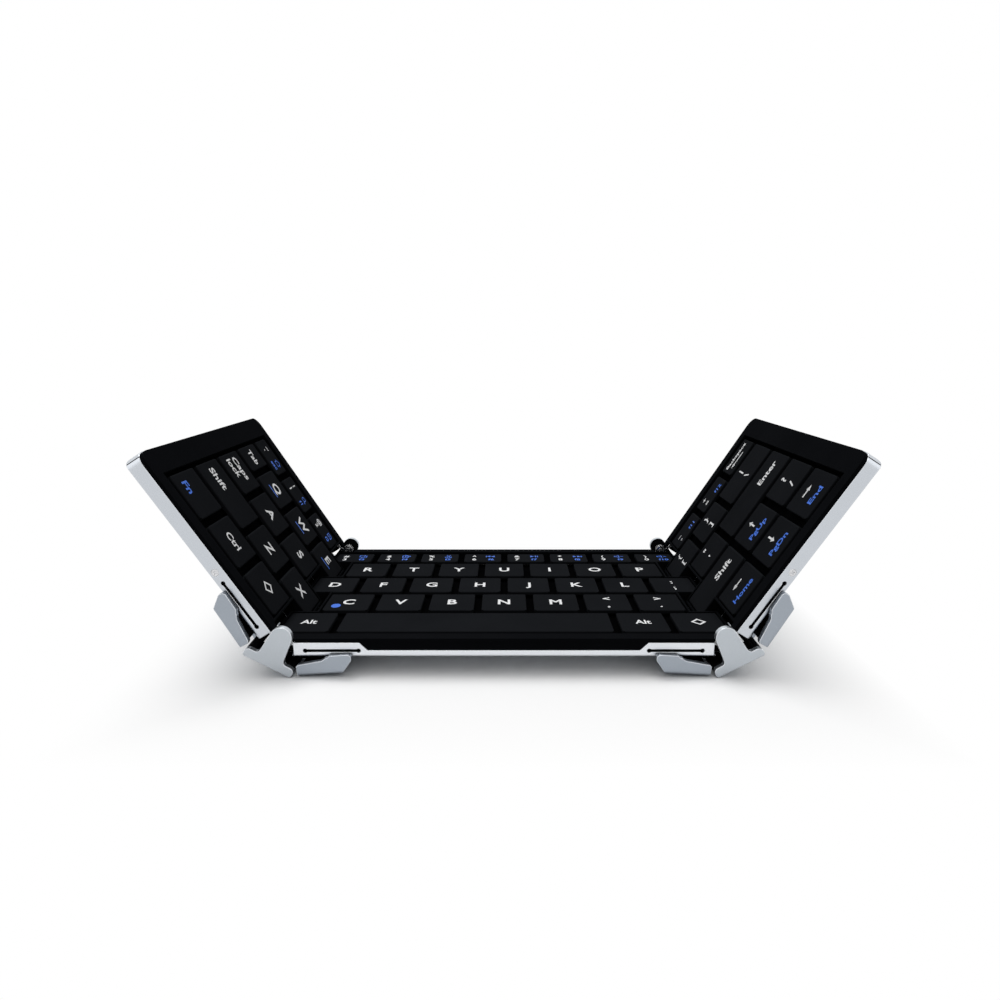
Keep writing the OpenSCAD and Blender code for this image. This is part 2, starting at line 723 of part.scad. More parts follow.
module spine_node(side) { color(cover_color) hinge_place(side) spine(); }
module rods_node(side) { color(steel_color) hinge_place(side) hinge_rods(); }
module pins_node(side) { color(steel_color) hinge_place(side) pivot_pins(); }
module centre_bracket_node(side) { color(cover_color) hinge_place(side) centre_bracket(); }
module wing_bracket_node(side) {
  color(cover_color) hinge_place(side) mirror([1, 0, 0]) centre_bracket();
}
module centre_rings_node(side) {
  color(steel_color) mirror([side > 0 ? 1 : 0, 0, 0]) turned(-1, 0) centre_rings();
}
module wing_rings_node(side) {
  color(steel_color) mirror([side > 0 ? 1 : 0, 0, 0]) turned(-1, rest_angle) wing_rings();
}
module ribbon_node(side) { color([0.75, 0.45, 0.15]) hinge_place(side) ribbon(); }

module left_spine() { spine_node(-1); }
module left_hinge_rods() { rods_node(-1); }
module left_pivot_pins() { pins_node(-1); }
module left_centre_rings() { centre_rings_node(-1); }
module left_wing_rings() { wing_rings_node(-1); }
module left_centre_bracket() { centre_bracket_node(-1); }
module left_wing_bracket() { wing_bracket_node(-1); }
module left_ribbon() { ribbon_node(-1); }
module right_spine() { spine_node(1); }
module right_hinge_rods() { rods_node(1); }
module right_pivot_pins() { pins_node(1); }
module right_centre_rings() { centre_rings_node(1); }
module right_wing_rings() { wing_rings_node(1); }
module right_centre_bracket() { centre_bracket_node(1); }
module right_wing_bracket() { wing_bracket_node(1); }
module right_ribbon() { ribbon_node(1); }

centre_tray();
centre_frame();
centre_key_plate();
centre_domes();
left_tray();
left_frame();
left_key_plate();
left_domes();
left_edge_screw();
right_tray();
right_frame();
right_key_plate();
right_domes();
right_edge_screw();
battery();
main_board();
usb_socket();
left_spine();
left_hinge_rods();
left_pivot_pins();
left_centre_rings();
left_wing_rings();
left_centre_bracket();
left_wing_bracket();
left_ribbon();
right_spine();
right_hinge_rods();
right_pivot_pins();
right_centre_rings();
right_wing_rings();
right_centre_bracket();
right_wing_bracket();
right_ribbon();
keys_grave_to_2();
key_tab();
keys_q_to_e();
key_caps_lock();
keys_a_s();
key_left_shift();
keys_z_x();
keys_left_bottom();
keys_3_to_0();
keys_r_to_p();
keys_d_to_semicolon();
keys_c_to_period();
key_space();
keys_alt();
keys_minus_equal();
key_backspace();
keys_brackets();
key_backslash();
key_quote();
key_enter();
key_slash();
key_page_up();
key_right_shift();
keys_right_bottom();
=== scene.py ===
import bpy, bmesh, json, math
from mathutils import Matrix, Vector

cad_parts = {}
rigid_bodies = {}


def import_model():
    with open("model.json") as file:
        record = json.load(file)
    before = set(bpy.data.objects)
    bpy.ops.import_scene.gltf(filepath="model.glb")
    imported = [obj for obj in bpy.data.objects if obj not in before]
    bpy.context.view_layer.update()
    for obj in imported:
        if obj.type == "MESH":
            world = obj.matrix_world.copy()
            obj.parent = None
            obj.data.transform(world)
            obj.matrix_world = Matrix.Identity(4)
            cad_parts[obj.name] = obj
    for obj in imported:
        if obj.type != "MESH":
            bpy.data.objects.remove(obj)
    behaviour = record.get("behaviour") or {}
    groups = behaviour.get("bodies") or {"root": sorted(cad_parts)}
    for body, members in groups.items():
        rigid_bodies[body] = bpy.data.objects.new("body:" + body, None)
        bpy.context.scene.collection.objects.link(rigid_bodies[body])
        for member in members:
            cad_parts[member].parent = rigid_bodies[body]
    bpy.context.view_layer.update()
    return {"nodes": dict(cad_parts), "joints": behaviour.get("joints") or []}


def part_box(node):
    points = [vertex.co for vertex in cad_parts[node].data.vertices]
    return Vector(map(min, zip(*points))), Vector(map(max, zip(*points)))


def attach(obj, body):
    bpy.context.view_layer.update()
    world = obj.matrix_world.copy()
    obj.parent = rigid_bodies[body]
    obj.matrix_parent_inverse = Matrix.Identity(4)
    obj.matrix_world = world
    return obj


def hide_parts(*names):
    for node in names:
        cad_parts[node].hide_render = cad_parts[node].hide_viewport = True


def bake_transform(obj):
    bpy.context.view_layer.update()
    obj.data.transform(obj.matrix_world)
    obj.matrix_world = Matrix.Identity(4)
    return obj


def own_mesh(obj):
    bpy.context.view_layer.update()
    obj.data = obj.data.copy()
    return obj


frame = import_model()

nodes = frame["nodes"]
scene = bpy.context.scene

MM = 0.001

# ---------------------------------------------------------------- placing
def joint(name):
    for j in frame["joints"]:
        if j["name"] == name:
            return j
    raise RuntimeError("no joint " + name)


PIVOT = Vector(joint("right_fold")["pos_m"])
AXIS_X = PIVOT.x
AXIS_Z = PIVOT.z
REST = -math.radians(joint("left_fold")["range_deg"][0])
FLAT_TILT = math.radians(5)  # of a bracket to its panel, with the keyboard flat
TILT = FLAT_TILT * (1 - REST / math.pi)


def panel_matrix(panel):
    """From a panel's own flat frame (x right, y back, z up from the fold line) to the rest pose."""
    if panel == "centre":
        return Matrix.Translation((0, 0, AXIS_Z))
    s = -1 if panel == "left" else 1
    p = Vector((s * AXIS_X, 0, AXIS_Z))
    turn = Matrix.Rotation(-s * REST, 4, "Y")
    return Matrix.Translation(p) @ turn @ Matrix.Translation((-s * AXIS_X, 0, 0))


def spine_matrix(side):
    """From a spine's frame (z up through the round noses) to the rest pose."""
    return Matrix.Translation((side * AXIS_X, 0, AXIS_Z)) @ Matrix.Rotation(-side * REST / 2, 4, "Y")


def bracket_matrix(name, side, panel):
    """From a bracket's frame (x and y along the rod, z up from the cover) to the rest pose."""
    towards = side if panel == "wing" else -side
    turn = Matrix.Rotation(-side * REST, 4, "Y") if panel == "wing" else Matrix.Identity(4)
    rod = Vector(joint(name + "_turn")["pos_m"])
    return Matrix.Translation(rod) @ turn @ Matrix.Rotation(-towards * TILT, 4, "Y")


# ---------------------------------------------------------------- materials
# cosines between the softened and the true normal at which an edge starts and is full
EDGE_FROM, EDGE_FULL = 0.995, 0.86


class Mat:
    """A node material with short helpers."""

    def __init__(self, name):
        self.m = bpy.data.materials.new(name)
        self.m.use_nodes = True
        self.t = self.m.node_tree
        for n in list(self.t.nodes):
            self.t.nodes.remove(n)
        self.out = self.t.nodes.new("ShaderNodeOutputMaterial")
        self.b = self.t.nodes.new("ShaderNodeBsdfPrincipled")
        self.t.links.new(self.b.outputs[0], self.out.inputs[0])
        self.co = self.t.nodes.new("ShaderNodeTexCoord").outputs["Object"]

    def new(self, kind, **values):
        n = self.t.nodes.new(kind)
        for k, v in values.items():
            if k in n.inputs:
                n.inputs[k].default_value = v
            else:
                setattr(n, k, v)
        return n

    def link(self, a, b):
        self.t.links.new(a, b)

    def noise(self, scale, detail=2.0, rough=0.5):
        n = self.new("ShaderNodeTexNoise", Scale=scale, Detail=detail, Roughness=rough)
        self.link(self.co, n.inputs["Vector"])
        return n.outputs["Fac"]

    def ramp(self, src, lo, hi, a=0.0, b=1.0):
        n = self.new("ShaderNodeMapRange")
        for k, v in (("From Min", lo), ("From Max", hi), ("To Min", a), ("To Max", b)):
            n.inputs[k].default_value = v
        self.link(src, n.inputs["Value"])
        return n.outputs[0]

    def feed(self, value, socket):
        """A socket's output, a colour or a number into a socket."""
        if hasattr(value, "is_output"):
            self.link(value, socket)
        elif isinstance(value, tuple) and len(value) == 3:
            socket.default_value = (*value, 1)
        else:
            socket.default_value = value

    def mix(self, fac, a, b):
        n = self.new("ShaderNodeMix", data_type="RGBA")
        for value, i in ((fac, 0), (a, 6), (b, 7)):
            self.feed(value, n.inputs[i])
        return n.outputs[2]

    def math(self, op, a, b):
        n = self.new("ShaderNodeMath", operation=op)
        self.feed(a, n.inputs[0])
        self.feed(b, n.inputs[1])
        return n.outputs[0]

    def edges(self, radius):
        """(softened normal, 0..1 mask of the edges) for crisp CAD edges."""
        bev = self.new("ShaderNodeBevel", samples=6)
        bev.inputs["Radius"].default_value = radius
        geo = self.new("ShaderNodeNewGeometry")
        dot = self.new("ShaderNodeVectorMath", operation="DOT_PRODUCT")
        self.link(bev.outputs[0], dot.inputs[0])
        self.link(geo.outputs["True Normal"], dot.inputs[1])
        return bev.outputs[0], self.ramp(dot.outputs["Value"], EDGE_FROM, EDGE_FULL)

    def inside(self, matrix, y_to, z_from, x_from=-1.0, x_to=1.0, soft=0.05 * MM):
        """0..1 mask of a box in matrix's frame.
        It starts at z_from, is y_to wide on both sides of the middle, and lies between two x."""
        loc, rot, _ = matrix.inverted().decompose()
        place = self.new("ShaderNodeMapping")
        place.inputs["Location"].default_value = loc
        place.inputs["Rotation"].default_value = rot.to_euler("XYZ")
        self.link(self.co, place.inputs["Vector"])
        sep = self.new("ShaderNodeSeparateXYZ")
        self.link(place.outputs[0], sep.inputs[0])
        x, y, z = sep.outputs
        mask = self.ramp(self.math("ABSOLUTE", y, 0), y_to + soft, y_to - soft)
        mask = self.math("MULTIPLY", mask, self.ramp(z, z_from - soft, z_from + soft))
        mask = self.math("MULTIPLY", mask, self.ramp(x, x_from - soft, x_from + soft))
        return self.math("MULTIPLY", mask, self.ramp(x, x_to + soft, x_to - soft))

    def bump(self, height, strength, distance, normal=None):
        n = self.new("ShaderNodeBump", Strength=strength, Distance=distance)
        self.link(height, n.inputs["Height"])
        if normal is not None:
            self.link(normal, n.inputs["Normal"])
        self.link(n.outputs[0], self.b.inputs["Normal"])

    def set(self, **values):
        for k, v in values.items():
            self.feed(v, self.b.inputs[k.replace("_", " ")])


def scaled(colour, factor):
    return tuple(min(c * factor, 1) for c in colour)


def anodised(name, base, spread, rough, grain, highlight_col, highlight_amount, radius, shade_box):
    """Bead-blasted anodised metal: speckle, soft cloudiness and painted highlights on the edges.
    The box given to Mat.inside() marks the hollow inner part of the piece, painted black as painted shade."""
    m = Mat(name)
    normal, edge = m.edges(radius)
    speck = m.noise(9000, 3, 0.7)
    fine = m.noise(3800, 2, 0.6)
    cloud = m.noise(38, 3, 0.55)
    col = m.mix(m.ramp(speck, 0.32, 0.68), scaled(base, 1 - spread), scaled(base, 1 + spread))
    col = m.mix(m.ramp(cloud, 0.3, 0.7, 0.0, 0.22), col, scaled(base, 0.9))
    # painted highlight: the edges turn lighter, unevenly, and a little smoother
    edge_highlight = m.math("MULTIPLY", edge, m.ramp(m.noise(420, 4, 0.6), 0.2, 0.75, 0.6, 1.0))
    edge_highlight = m.math("MULTIPLY", edge_highlight, highlight_amount)
    col = m.mix(edge_highlight, col, highlight_col)
    r = m.ramp(fine, 0.25, 0.75, rough - 0.05, rough + 0.06)
    r = m.math("SUBTRACT", r, m.math("MULTIPLY", edge_highlight, 0.12))
    # painted shade: the hollow inside is painted black, not metal
    black = m.inside(**shade_box)
    col = m.mix(black, col, SHADE_BLACK)
    r = m.math("MAXIMUM", r, m.math("MULTIPLY", black, SHADE_BLACK_ROUGH))
    m.set(Base_Color=col, Metallic=m.math("SUBTRACT", 1.0, black), Roughness=r)
    m.set(Specular_IOR_Level=SHADE_BLACK_SPEC)
    m.bump(speck, grain, 0.04 * MM, normal)
    return m.m


def moulded(name, base, rough, grain, grain_scale, radius=0.16 * MM, lift=1.6):
    """Fine-textured black plastic with slightly smoother edges, made lighter as a painted highlight."""
    m = Mat(name)
    normal, edge = m.edges(radius)
    g = m.noise(grain_scale, 3, 0.6)
    wide = m.noise(60, 3, 0.55)
    light = tuple(c * lift + 0.004 for c in base)
    col = m.mix(m.ramp(g, 0.35, 0.7), base, scaled(base, 1.35))
    col = m.mix(m.ramp(wide, 0.35, 0.7, 0, 0.35), col, scaled(base, 0.72))
    # painted highlight: the edges are lighter than the plastic
    col = m.mix(m.math("MULTIPLY", edge, 0.8), col, light)
    m.set(Base_Color=col, Specular_IOR_Level=BLACK_SPEC)
    r = m.ramp(wide, 0.3, 0.7, rough - 0.05, rough + 0.05)
    r = m.math("SUBTRACT", r, m.math("MULTIPLY", edge, 0.1))
    m.set(Roughness=r)
    m.bump(g, grain, 0.03 * MM, normal)
    return m.m


def turned_steel(name, base, rough):
    """Lathe-turned steel: fine rings and a soft edge with a painted highlight."""
    m = Mat(name)
    normal, edge = m.edges(0.12 * MM)
    w = m.new("ShaderNodeTexWave", wave_type="RINGS", rings_direction="Y")
    m.link(m.co, w.inputs["Vector"])
    w.inputs["Scale"].default_value = 9000
    w.inputs["Distortion"].default_value = 1.5
    spots = m.noise(900, 3, 0.6)
    col = m.mix(m.ramp(spots, 0.4, 0.75), base, scaled(base, 0.8))
    # painted highlight: the edges are lighter
    col = m.mix(m.math("MULTIPLY", edge, 0.6), col, (0.92, 0.92, 0.93))
    m.set(Base_Color=col, Metallic=1.0)
    m.set(Roughness=m.ramp(spots, 0.3, 0.7, rough - 0.06, rough + 0.06))
    m.bump(w.outputs["Fac"], 0.08, 0.02 * MM, normal)
    return m.m


def soft_rubber(name, base):
    """Dull pale rubber with a fine grain."""
    m = Mat(name)
    g = m.noise(2200, 3, 0.6)
    col = m.mix(m.ramp(g, 0.35, 0.7), base, scaled(base, 0.85))
    m.set(Base_Color=col, Roughness=m.ramp(g, 0.3, 0.7, 0.5, 0.62), Specular_IOR_Level=0.4)
    m.bump(g, 0.15, 0.04 * MM)
    return m.m


def foil(name, base):
    """Crinkled foil pouch."""
    m = Mat(name)
    g = m.noise(700, 4, 0.6)
    col = m.mix(m.ramp(g, 0.35, 0.7), base, scaled(base, 0.8))
    m.set(Base_Color=col, Metallic=0.6, Roughness=m.ramp(g, 0.3, 0.7, 0.3, 0.45))
    m.bump(g, 0.4, 0.1 * MM)
    return m.m


def board_mat(name, base):
    """Printed board with lighter tracks."""
    m = Mat(name)
    v = m.new("ShaderNodeTexVoronoi", feature="DISTANCE_TO_EDGE")
    m.link(m.co, v.inputs["Vector"])
    v.inputs["Scale"].default_value = 600
    col = m.mix(m.ramp(v.outputs["Distance"], 0.02, 0.06), scaled(base, 2.2), base)
    m.set(Base_Color=col, Roughness=m.ramp(m.noise(500), 0.3, 0.7, 0.25, 0.4))
    m.bump(v.outputs["Distance"], 0.2, 0.03 * MM)
    return m.m


def film(name, base):
    """Thin film with bands along the conductors."""
    m = Mat(name)
    w = m.new("ShaderNodeTexWave", wave_type="BANDS", bands_direction="Y")
    m.link(m.co, w.inputs["Vector"])
    w.inputs["Scale"].default_value = 900
    col = m.mix(m.ramp(w.outputs["Fac"], 0.4, 0.6), base, scaled(base, 0.6))
    m.set(Base_Color=col, Roughness=m.ramp(m.noise(400), 0.3, 0.7, 0.25, 0.4))
    m.bump(w.outputs["Fac"], 0.2, 0.03 * MM)
    return m.m


def ink(name, base):
    """Printed legend: matte ink, slightly uneven."""
    m = Mat(name)
    g = m.noise(5200, 3, 0.6)
    col = m.mix(m.ramp(g, 0.3, 0.75), base, scaled(base, 0.86))
    m.set(Base_Color=col, Roughness=m.ramp(g, 0.3, 0.7, 0.45, 0.6), Specular_IOR_Level=0.3)
    m.bump(g, 0.1, 0.01 * MM)
    return m.m


SHADE_BLACK = (0.0035, 0.0036, 0.004)  # painted shade: black on the hollow inner faces of trays and hinges
SHADE_BLACK_SPEC, SHADE_BLACK_ROUGH = 0.02, 0.6
BLACK_SPEC = 0.0005  # black plastic seen at a low angle would mirror the white page otherwise
# in both finishes below, the edge colour and amount belong to the painted highlight on the edges
SATIN = dict(spread=0.06, rough=0.30, grain=0.18, highlight_col=(0.94, 0.96, 0.99),
             highlight_amount=0.9, radius=0.25 * MM)
BLAST = dict(spread=0.08, rough=0.38, grain=0.25, highlight_col=(0.90, 0.92, 0.95),
             highlight_amount=1.0, radius=0.4 * MM)
# the wings' trays have a darker base than the centre's: painted shade on one satin metal
SATIN_COLOUR = dict(left=(0.58, 0.61, 0.65), centre=(0.76, 0.785, 0.82), right=(0.58, 0.61, 0.65))
# the bracket covers have a darker base than the spines: painted shade on one blasted metal
SPINE_COLOUR = (0.50, 0.535, 0.57)
COVER_COLOUR = (0.35, 0.385, 0.43)

PITCH = AXIS_X / 3.75  # the fold lines lie 3.75 keys from the middle
HALF_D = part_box("centre_tray")[1][1]
BOTTOM = AXIS_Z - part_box("centre_tray")[0][2]
WALL = 1.0 * MM
WING_END = 7.5 * PITCH - 0.7 * MM
FLANGE_Y = HALF_D + 0.35 * MM
SPINE_SHADE_FROM = 7.65 * MM  # where the spine's painted shade starts, below the fold line
COVER_TOP = -0.25 * MM  # where a bracket's painted shade starts, from its rod
SKIN = 0.1 * MM  # how far the mask of the painted shade stays off the bare faces
FAR = 1.0

M_TRAY, M_HINGE = {}, {}
for panel, x_from, x_to in (("left", -WING_END + WALL, FAR), ("centre", -FAR, FAR),
                            ("right", -FAR, WING_END - WALL)):
    hollow = dict(matrix=panel_matrix(panel), y_to=HALF_D - WALL - SKIN, z_from=-BOTTOM + SKIN,
                  x_from=x_from, x_to=x_to)
    M_TRAY[panel] = anodised("satin_" + panel, SATIN_COLOUR[panel], shade_box=hollow, **SATIN)
for side, name in ((-1, "left"), (1, "right")):
    hollow = dict(matrix=spine_matrix(side), y_to=FLANGE_Y + SKIN, z_from=-SPINE_SHADE_FROM - SKIN)
    M_HINGE[name + "_spine"] = anodised("blasted_%s_spine" % name, SPINE_COLOUR, shade_box=hollow, **BLAST)
    for panel in ("centre", "wing"):
        bracket = "%s_%s_bracket" % (name, panel)
        hollow = dict(matrix=bracket_matrix(bracket, side, panel), y_to=FLANGE_Y + SKIN,
                      z_from=COVER_TOP - SKIN)
        M_HINGE[bracket] = anodised("blasted_" + bracket, COVER_COLOUR, shade_box=hollow, **BLAST)
M_FRAME = moulded("black_frame", (0.0044, 0.0048, 0.0058), 0.5, 0.25, 4800)
M_KEY = moulded("black_key", (0.0092, 0.0100, 0.0116), 0.55, 0.3, 5600, 0.2 * MM, 1.8)
M_PLATE = moulded("black_plate", (0.0010, 0.0010, 0.0012), 0.6, 0.2, 4200)
M_STEEL = turned_steel("turned_steel", (0.74, 0.745, 0.76), 0.24)
M_DOME = soft_rubber("dome_rubber", (0.45, 0.45, 0.42))
M_FOIL = foil("cell_foil", (0.62, 0.63, 0.66))
M_BOARD = board_mat("circuit_board", (0.01, 0.10, 0.035))
M_FILM = film("ribbon_film", (0.006, 0.006, 0.007))
M_WHITE = ink("white_ink", (0.88, 0.89, 0.90))
M_BLUE = ink("blue_ink", (0.045, 0.18, 0.80))


def paint(names, mat):
    for n in names:
        o = nodes[n]
        if not o.data.materials:
            o.data.materials.append(mat)
        for i in range(len(o.data.materials)):
            o.data.materials[i] = mat
        for s in o.material_slots:
            s.material = mat


for panel, material in M_TRAY.items():
    paint([panel + "_tray"], material)
for piece, material in M_HINGE.items():
    paint([piece], material)
for ending, material in (("_frame", M_FRAME), ("_key_plate", M_PLATE), ("_domes", M_DOME),
                         ("_ribbon", M_FILM), (("_hinge_rods", "_pivot_pins", "_rings", "_screw"), M_STEEL)):
    paint([n for n in nodes if n.endswith(ending)], material)
paint(["usb_socket"], M_STEEL)
paint(["battery"], M_FOIL)
paint(["main_board"], M_BOARD)
paint([n for n in nodes if n.startswith("key")], M_KEY)

# ---------------------------------------------------------------- legends
ROW_PITCH = 16.6 * MM
GAP = 2.4 * MM
KEY_D = ROW_PITCH - 2.2 * MM
TOP_D = 9.9 * MM
EDGE = 6.0 * MM
FRONT = 2 * ROW_PITCH + KEY_D / 2 + EDGE
BACK = ROW_PITCH + KEY_D / 2 + GAP + TOP_D + EDGE
ROW3 = (FRONT - BACK) / 2
ROW_Y = [ROW3 - 2 * ROW_PITCH, ROW3 - ROW_PITCH, ROW3, ROW3 + ROW_PITCH,
         ROW3 + ROW_PITCH + (KEY_D + TOP_D) / 2 + GAP]
CAP_Z = -0.65 * MM
INK_Z = CAP_Z + 0.004 * MM
INK_T = 0.012 * MM

BOLD = 0.024  # how much the outlines of letters grow, in sizes of the font
CAP_SHARE = 0.69  # cap height of the font, in its sizes
_font = {}


def text_mesh(body, size, spacing=1.0):
    """(vertices, faces, width) of a line of text that starts at 0 and has cap height size."""
    key = (body, spacing)
    if key not in _font:
        cu = bpy.data.curves.new("t", "FONT")
        cu.body = body
        cu.size = 1.0
        cu.space_character = spacing
        cu.offset = BOLD
        cu.align_x = "LEFT"
        cu.resolution_u = 3
        ob = bpy.data.objects.new("t", cu)
        scene.collection.objects.link(ob)
        bpy.context.view_layer.update()
        graph = bpy.context.evaluated_depsgraph_get()
        me = bpy.data.meshes.new_from_object(ob.evaluated_get(graph))
        v = [tuple(p.co) for p in me.vertices]
        f = [tuple(p.vertices) for p in me.polygons]
        bpy.data.objects.remove(ob)
        bpy.data.meshes.remove(me)
        x0, x1 = min(p[0] for p in v), max(p[0] for p in v)
        _font[key] = ([(p[0] - x0, p[1]) for p in v], f, x1 - x0)
    v, f, w = _font[key]
    k = size / CAP_SHARE
    return [(x * k, y * k) for x, y in v], f, w * k


class Ink:
    """Collects flat printed shapes of one colour for one key node."""

    def __init__(self):
        self.v, self.f = [], []

    def add(self, v, f):
        n = len(self.v)
        self.v += v
        self.f += [tuple(i + n for i in q) for q in f]

    def text(self, body, x, y, size, align="C", spacing=1.0, width=None):
        v, f, w = text_mesh(body, size, spacing)
        if width:
            v = [(a * width / w, b) for a, b in v]
            w = width
        dx = {"C": -w / 2, "L": 0.0, "R": -w}[align]
        self.add([(x + dx + a, y + b - size / 2) for a, b in v], f)

    def bar(self, x0, y0, x1, y1, t):
        d = Vector((x1 - x0, y1 - y0))
        n = Vector((-d.y, d.x)).normalized() * t / 2
        self.add([(x0 + n.x, y0 + n.y), (x0 - n.x, y0 - n.y),
                  (x1 - n.x, y1 - n.y), (x1 + n.x, y1 + n.y)], [(0, 1, 2, 3)])

    def path(self, pts, t, closed=False):
        """A stroke with mitred joins."""
        n = len(pts)
        p = [Vector(q) for q in pts]
        left, right = [], []
        for i in range(n):
            a = p[i - 1] if i > 0 or closed else None
            b = p[(i + 1) % n] if i < n - 1 or closed else None
            d1 = (p[i] - a).normalized() if a is not None else (b - p[i]).normalized()
            d2 = (b - p[i]).normalized() if b is not None else d1
            m = (d1 + d2).normalized()
            nn = Vector((-m.y, m.x))
            k = max(abs(nn.dot(Vector((-d1.y, d1.x)))), 0.4)
            left.append(p[i] + nn * t / 2 / k)
            right.append(p[i] - nn * t / 2 / k)
        v = [(q.x, q.y) for q in left + right]
        last = n if closed else n - 1
        f = [(i, n + i, n + (i + 1) % n, (i + 1) % n) for i in range(last)]
        self.add(v, f)

    def tri(self, a, b, c):
        self.add([a, b, c], [(0, 1, 2)])

    def arc(self, cx, cy, r, a0, a1, t, n=14):
        self.path([(cx + r * math.cos(math.radians(a0 + (a1 - a0) * i / n)),
                    cy + r * math.sin(math.radians(a0 + (a1 - a0) * i / n))) for i in range(n + 1)], t)

    def arrow(self, x, y, length, way, t, head):
        dx, dy = {"L": (-1, 0), "R": (1, 0), "U": (0, 1), "D": (0, -1)}[way]
        x1, y1 = x + dx * length / 2, y + dy * length / 2
        x0, y0 = x - dx * length / 2, y - dy * length / 2
        self.bar(x0, y0, x1 - dx * head * 0.6, y1 - dy * head * 0.6, t)
        hx, hy = x1 - dx * head, y1 - dy * head
        w = head * 0.5
        self.tri((x1, y1), (hx - dy * w, hy + dx * w), (hx + dy * w, hy - dx * w))

    def mesh(self, name, mat, matrix, body):
        if not self.v:
            return
        me = bpy.data.meshes.new(name)
        me.from_pydata([matrix @ Vector((x, y, INK_Z + INK_T)) for x, y in self.v], [], self.f)
        me.materials.append(mat)
        me.update()
        ob = bpy.data.objects.new(name, me)
        scene.collection.objects.link(ob)
        # printed upwards whatever the winding of the outline
        up = (matrix.to_3x3() @ Vector((0, 0, 1))).normalized()
        flips = [p.index for p in me.polygons if p.normal.dot(up) < 0]
        if flips:
            bm = bmesh.new()
            bm.from_mesh(me)
            bm.faces.ensure_lookup_table()
            bmesh.ops.reverse_faces(bm, faces=[bm.faces[i] for i in flips])
            bm.to_mesh(me)
            bm.free()
        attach(ob, body)


def u(v):
    return v * MM


# icons of the function keys, each drawn in blue round (x, y)
STROKE = u(0.30)
ICON = u(1.75)


def stroke(k, x, y, pts, closed=False):
    """A stroke through points given in icon units."""
    k.path([(x + a * ICON, y + b * ICON) for a, b in pts], STROKE, closed)


def line(k, x, y, a, b, thick=1.0):
    """A straight bar between two points given in icon units."""
    k.bar(x + a[0] * ICON, y + a[1] * ICON, x + b[0] * ICON, y + b[1] * ICON, STROKE * thick)


def ring(k, x, y, a, b, r, steps):
    k.arc(x + a * ICON, y + b * ICON, r * ICON, 0, 360, STROKE, steps)


def mark(k, x, y, a, way, s=.55 * ICON):
    """A triangle at a that points left (way -1) or right (way 1)."""
    x += a * ICON
    k.tri((x + way * s, y), (x - way * s * .5, y + s), (x - way * s * .5, y - s))


def icon_home(k, x, y):
    stroke(k, x, y, [(-.95, -.05), (0, .8), (.95, -.05)])
    stroke(k, x, y, [(-.6, .2), (-.6, -.75), (.6, -.75), (.6, .2)])


def icon_lens(k, x, y):
    ring(k, x, y, -.15, .2, .55, 20)
    line(k, x, y, (.25, -.25), (.8, -.85), 1.3)


def icon_sheet(k, x, y):
    stroke(k, x, y, [(-.6, -.7), (-.6, .7), (.2, .7), (.65, .25), (.65, -.7)], True)
    for i in (-.4, -.1, .2):
        line(k, x, y, (-.3, i), (.35, i), .8)


def icon_copy(k, x, y):
    stroke(k, x, y, [(-.75, -.35), (-.75, .75), (.3, .75), (.3, -.35)], True)
    stroke(k, x, y, [(-.3, -.35), (-.3, -.8), (.75, -.8), (.75, .3), (.3, .3)])


def icon_paste(k, x, y):
    stroke(k, x, y, [(-.7, -.75), (-.7, .6), (.55, .6), (.55, -.75)], True)
    line(k, x, y, (-.35, .75), (.2, .75), 1.6)
    stroke(k, x, y, [(-.1, -.3), (.9, -.3), (.9, .35), (-.1, .35)], True)


def icon_scissors(k, x, y):
    line(k, x, y, (-.45, .85), (.3, -.35))
    line(k, x, y, (.45, .85), (-.3, -.35))
    ring(k, x, y, -.42, -.62, .28, 12)
    ring(k, x, y, .42, -.62, .28, 12)


def icon_back(k, x, y):
    line(k, x, y, (-1.1, -.5), (-1.1, .5))
    mark(k, x, y, -.45, -1)
    mark(k, x, y, .5, -1)


def icon_play(k, x, y):
    mark(k, x, y, -.5, 1)
    line(k, x, y, (.35, -.5), (.35, .5), 1.2)
    line(k, x, y, (.8, -.5), (.8, .5), 1.2)


def icon_next(k, x, y):
    mark(k, x, y, -.5, 1)
    mark(k, x, y, .45, 1)
    line(k, x, y, (1.1, -.5), (1.1, .5))


def icon_speaker(k, x, y):
    stroke(k, x, y, [(-1.0, -.25), (-1.0, .25), (-.6, .25), (-.05, .65), (-.05, -.65), (-.6, -.25)], True)


def icon_quiet(k, x, y):
    icon_speaker(k, x, y)
    line(k, x, y, (.3, 0), (.95, 0))


def icon_loud(k, x, y):
    icon_speaker(k, x, y)
    line(k, x, y, (.3, 0), (1.0, 0))
    line(k, x, y, (.65, -.35), (.65, .35))


# legends: each takes the white ink, the blue ink and the width of its key
LETTER = 4.0 * MM
WORD = 2.85 * MM
SMALL = 2.15 * MM
SIGN = 3.0 * MM


def figure(up, low, icon, f):
    def draw(w, b, width):
        w.text(up, -u(3.3), u(1.7), u(2.2))
        w.text(low, -u(3.3), -u(2.0), u(2.3))
        if icon:
            icon(b, u(3.2), u(1.7))
        b.text(f, u(3.2), -u(2.1), u(1.95), spacing=1.05)
    return draw


def word(s, size=WORD, width=None):
    return lambda w, b, key_w: w.text(s, 0, 0, size, width=width)


def two(a, c):
    def draw(w, b, width):
        left = -width / 2 + u(1.8)
        w.text(a, left, u(2.0), WORD, "L", width=u(8.6))
        w.text(c, left, -u(2.3), WORD, "L", width=u(6.8))
    return draw


def pair(a, c):
    def draw(w, b, width):
        w.text(a, 0, u(2.9), SIGN)
        w.text(c, 0, -u(2.9), SIGN)
    return draw


def cap_letter(s):
    return lambda w, b, width: w.text(s, 0, 0, LETTER)


def underlined(s):
    def draw(w, b, width):
        w.text(s, 0, u(0.6), LETTER)
        b.bar(-u(2.6), -u(3.1), u(2.6), -u(3.1), u(0.5))
    return draw


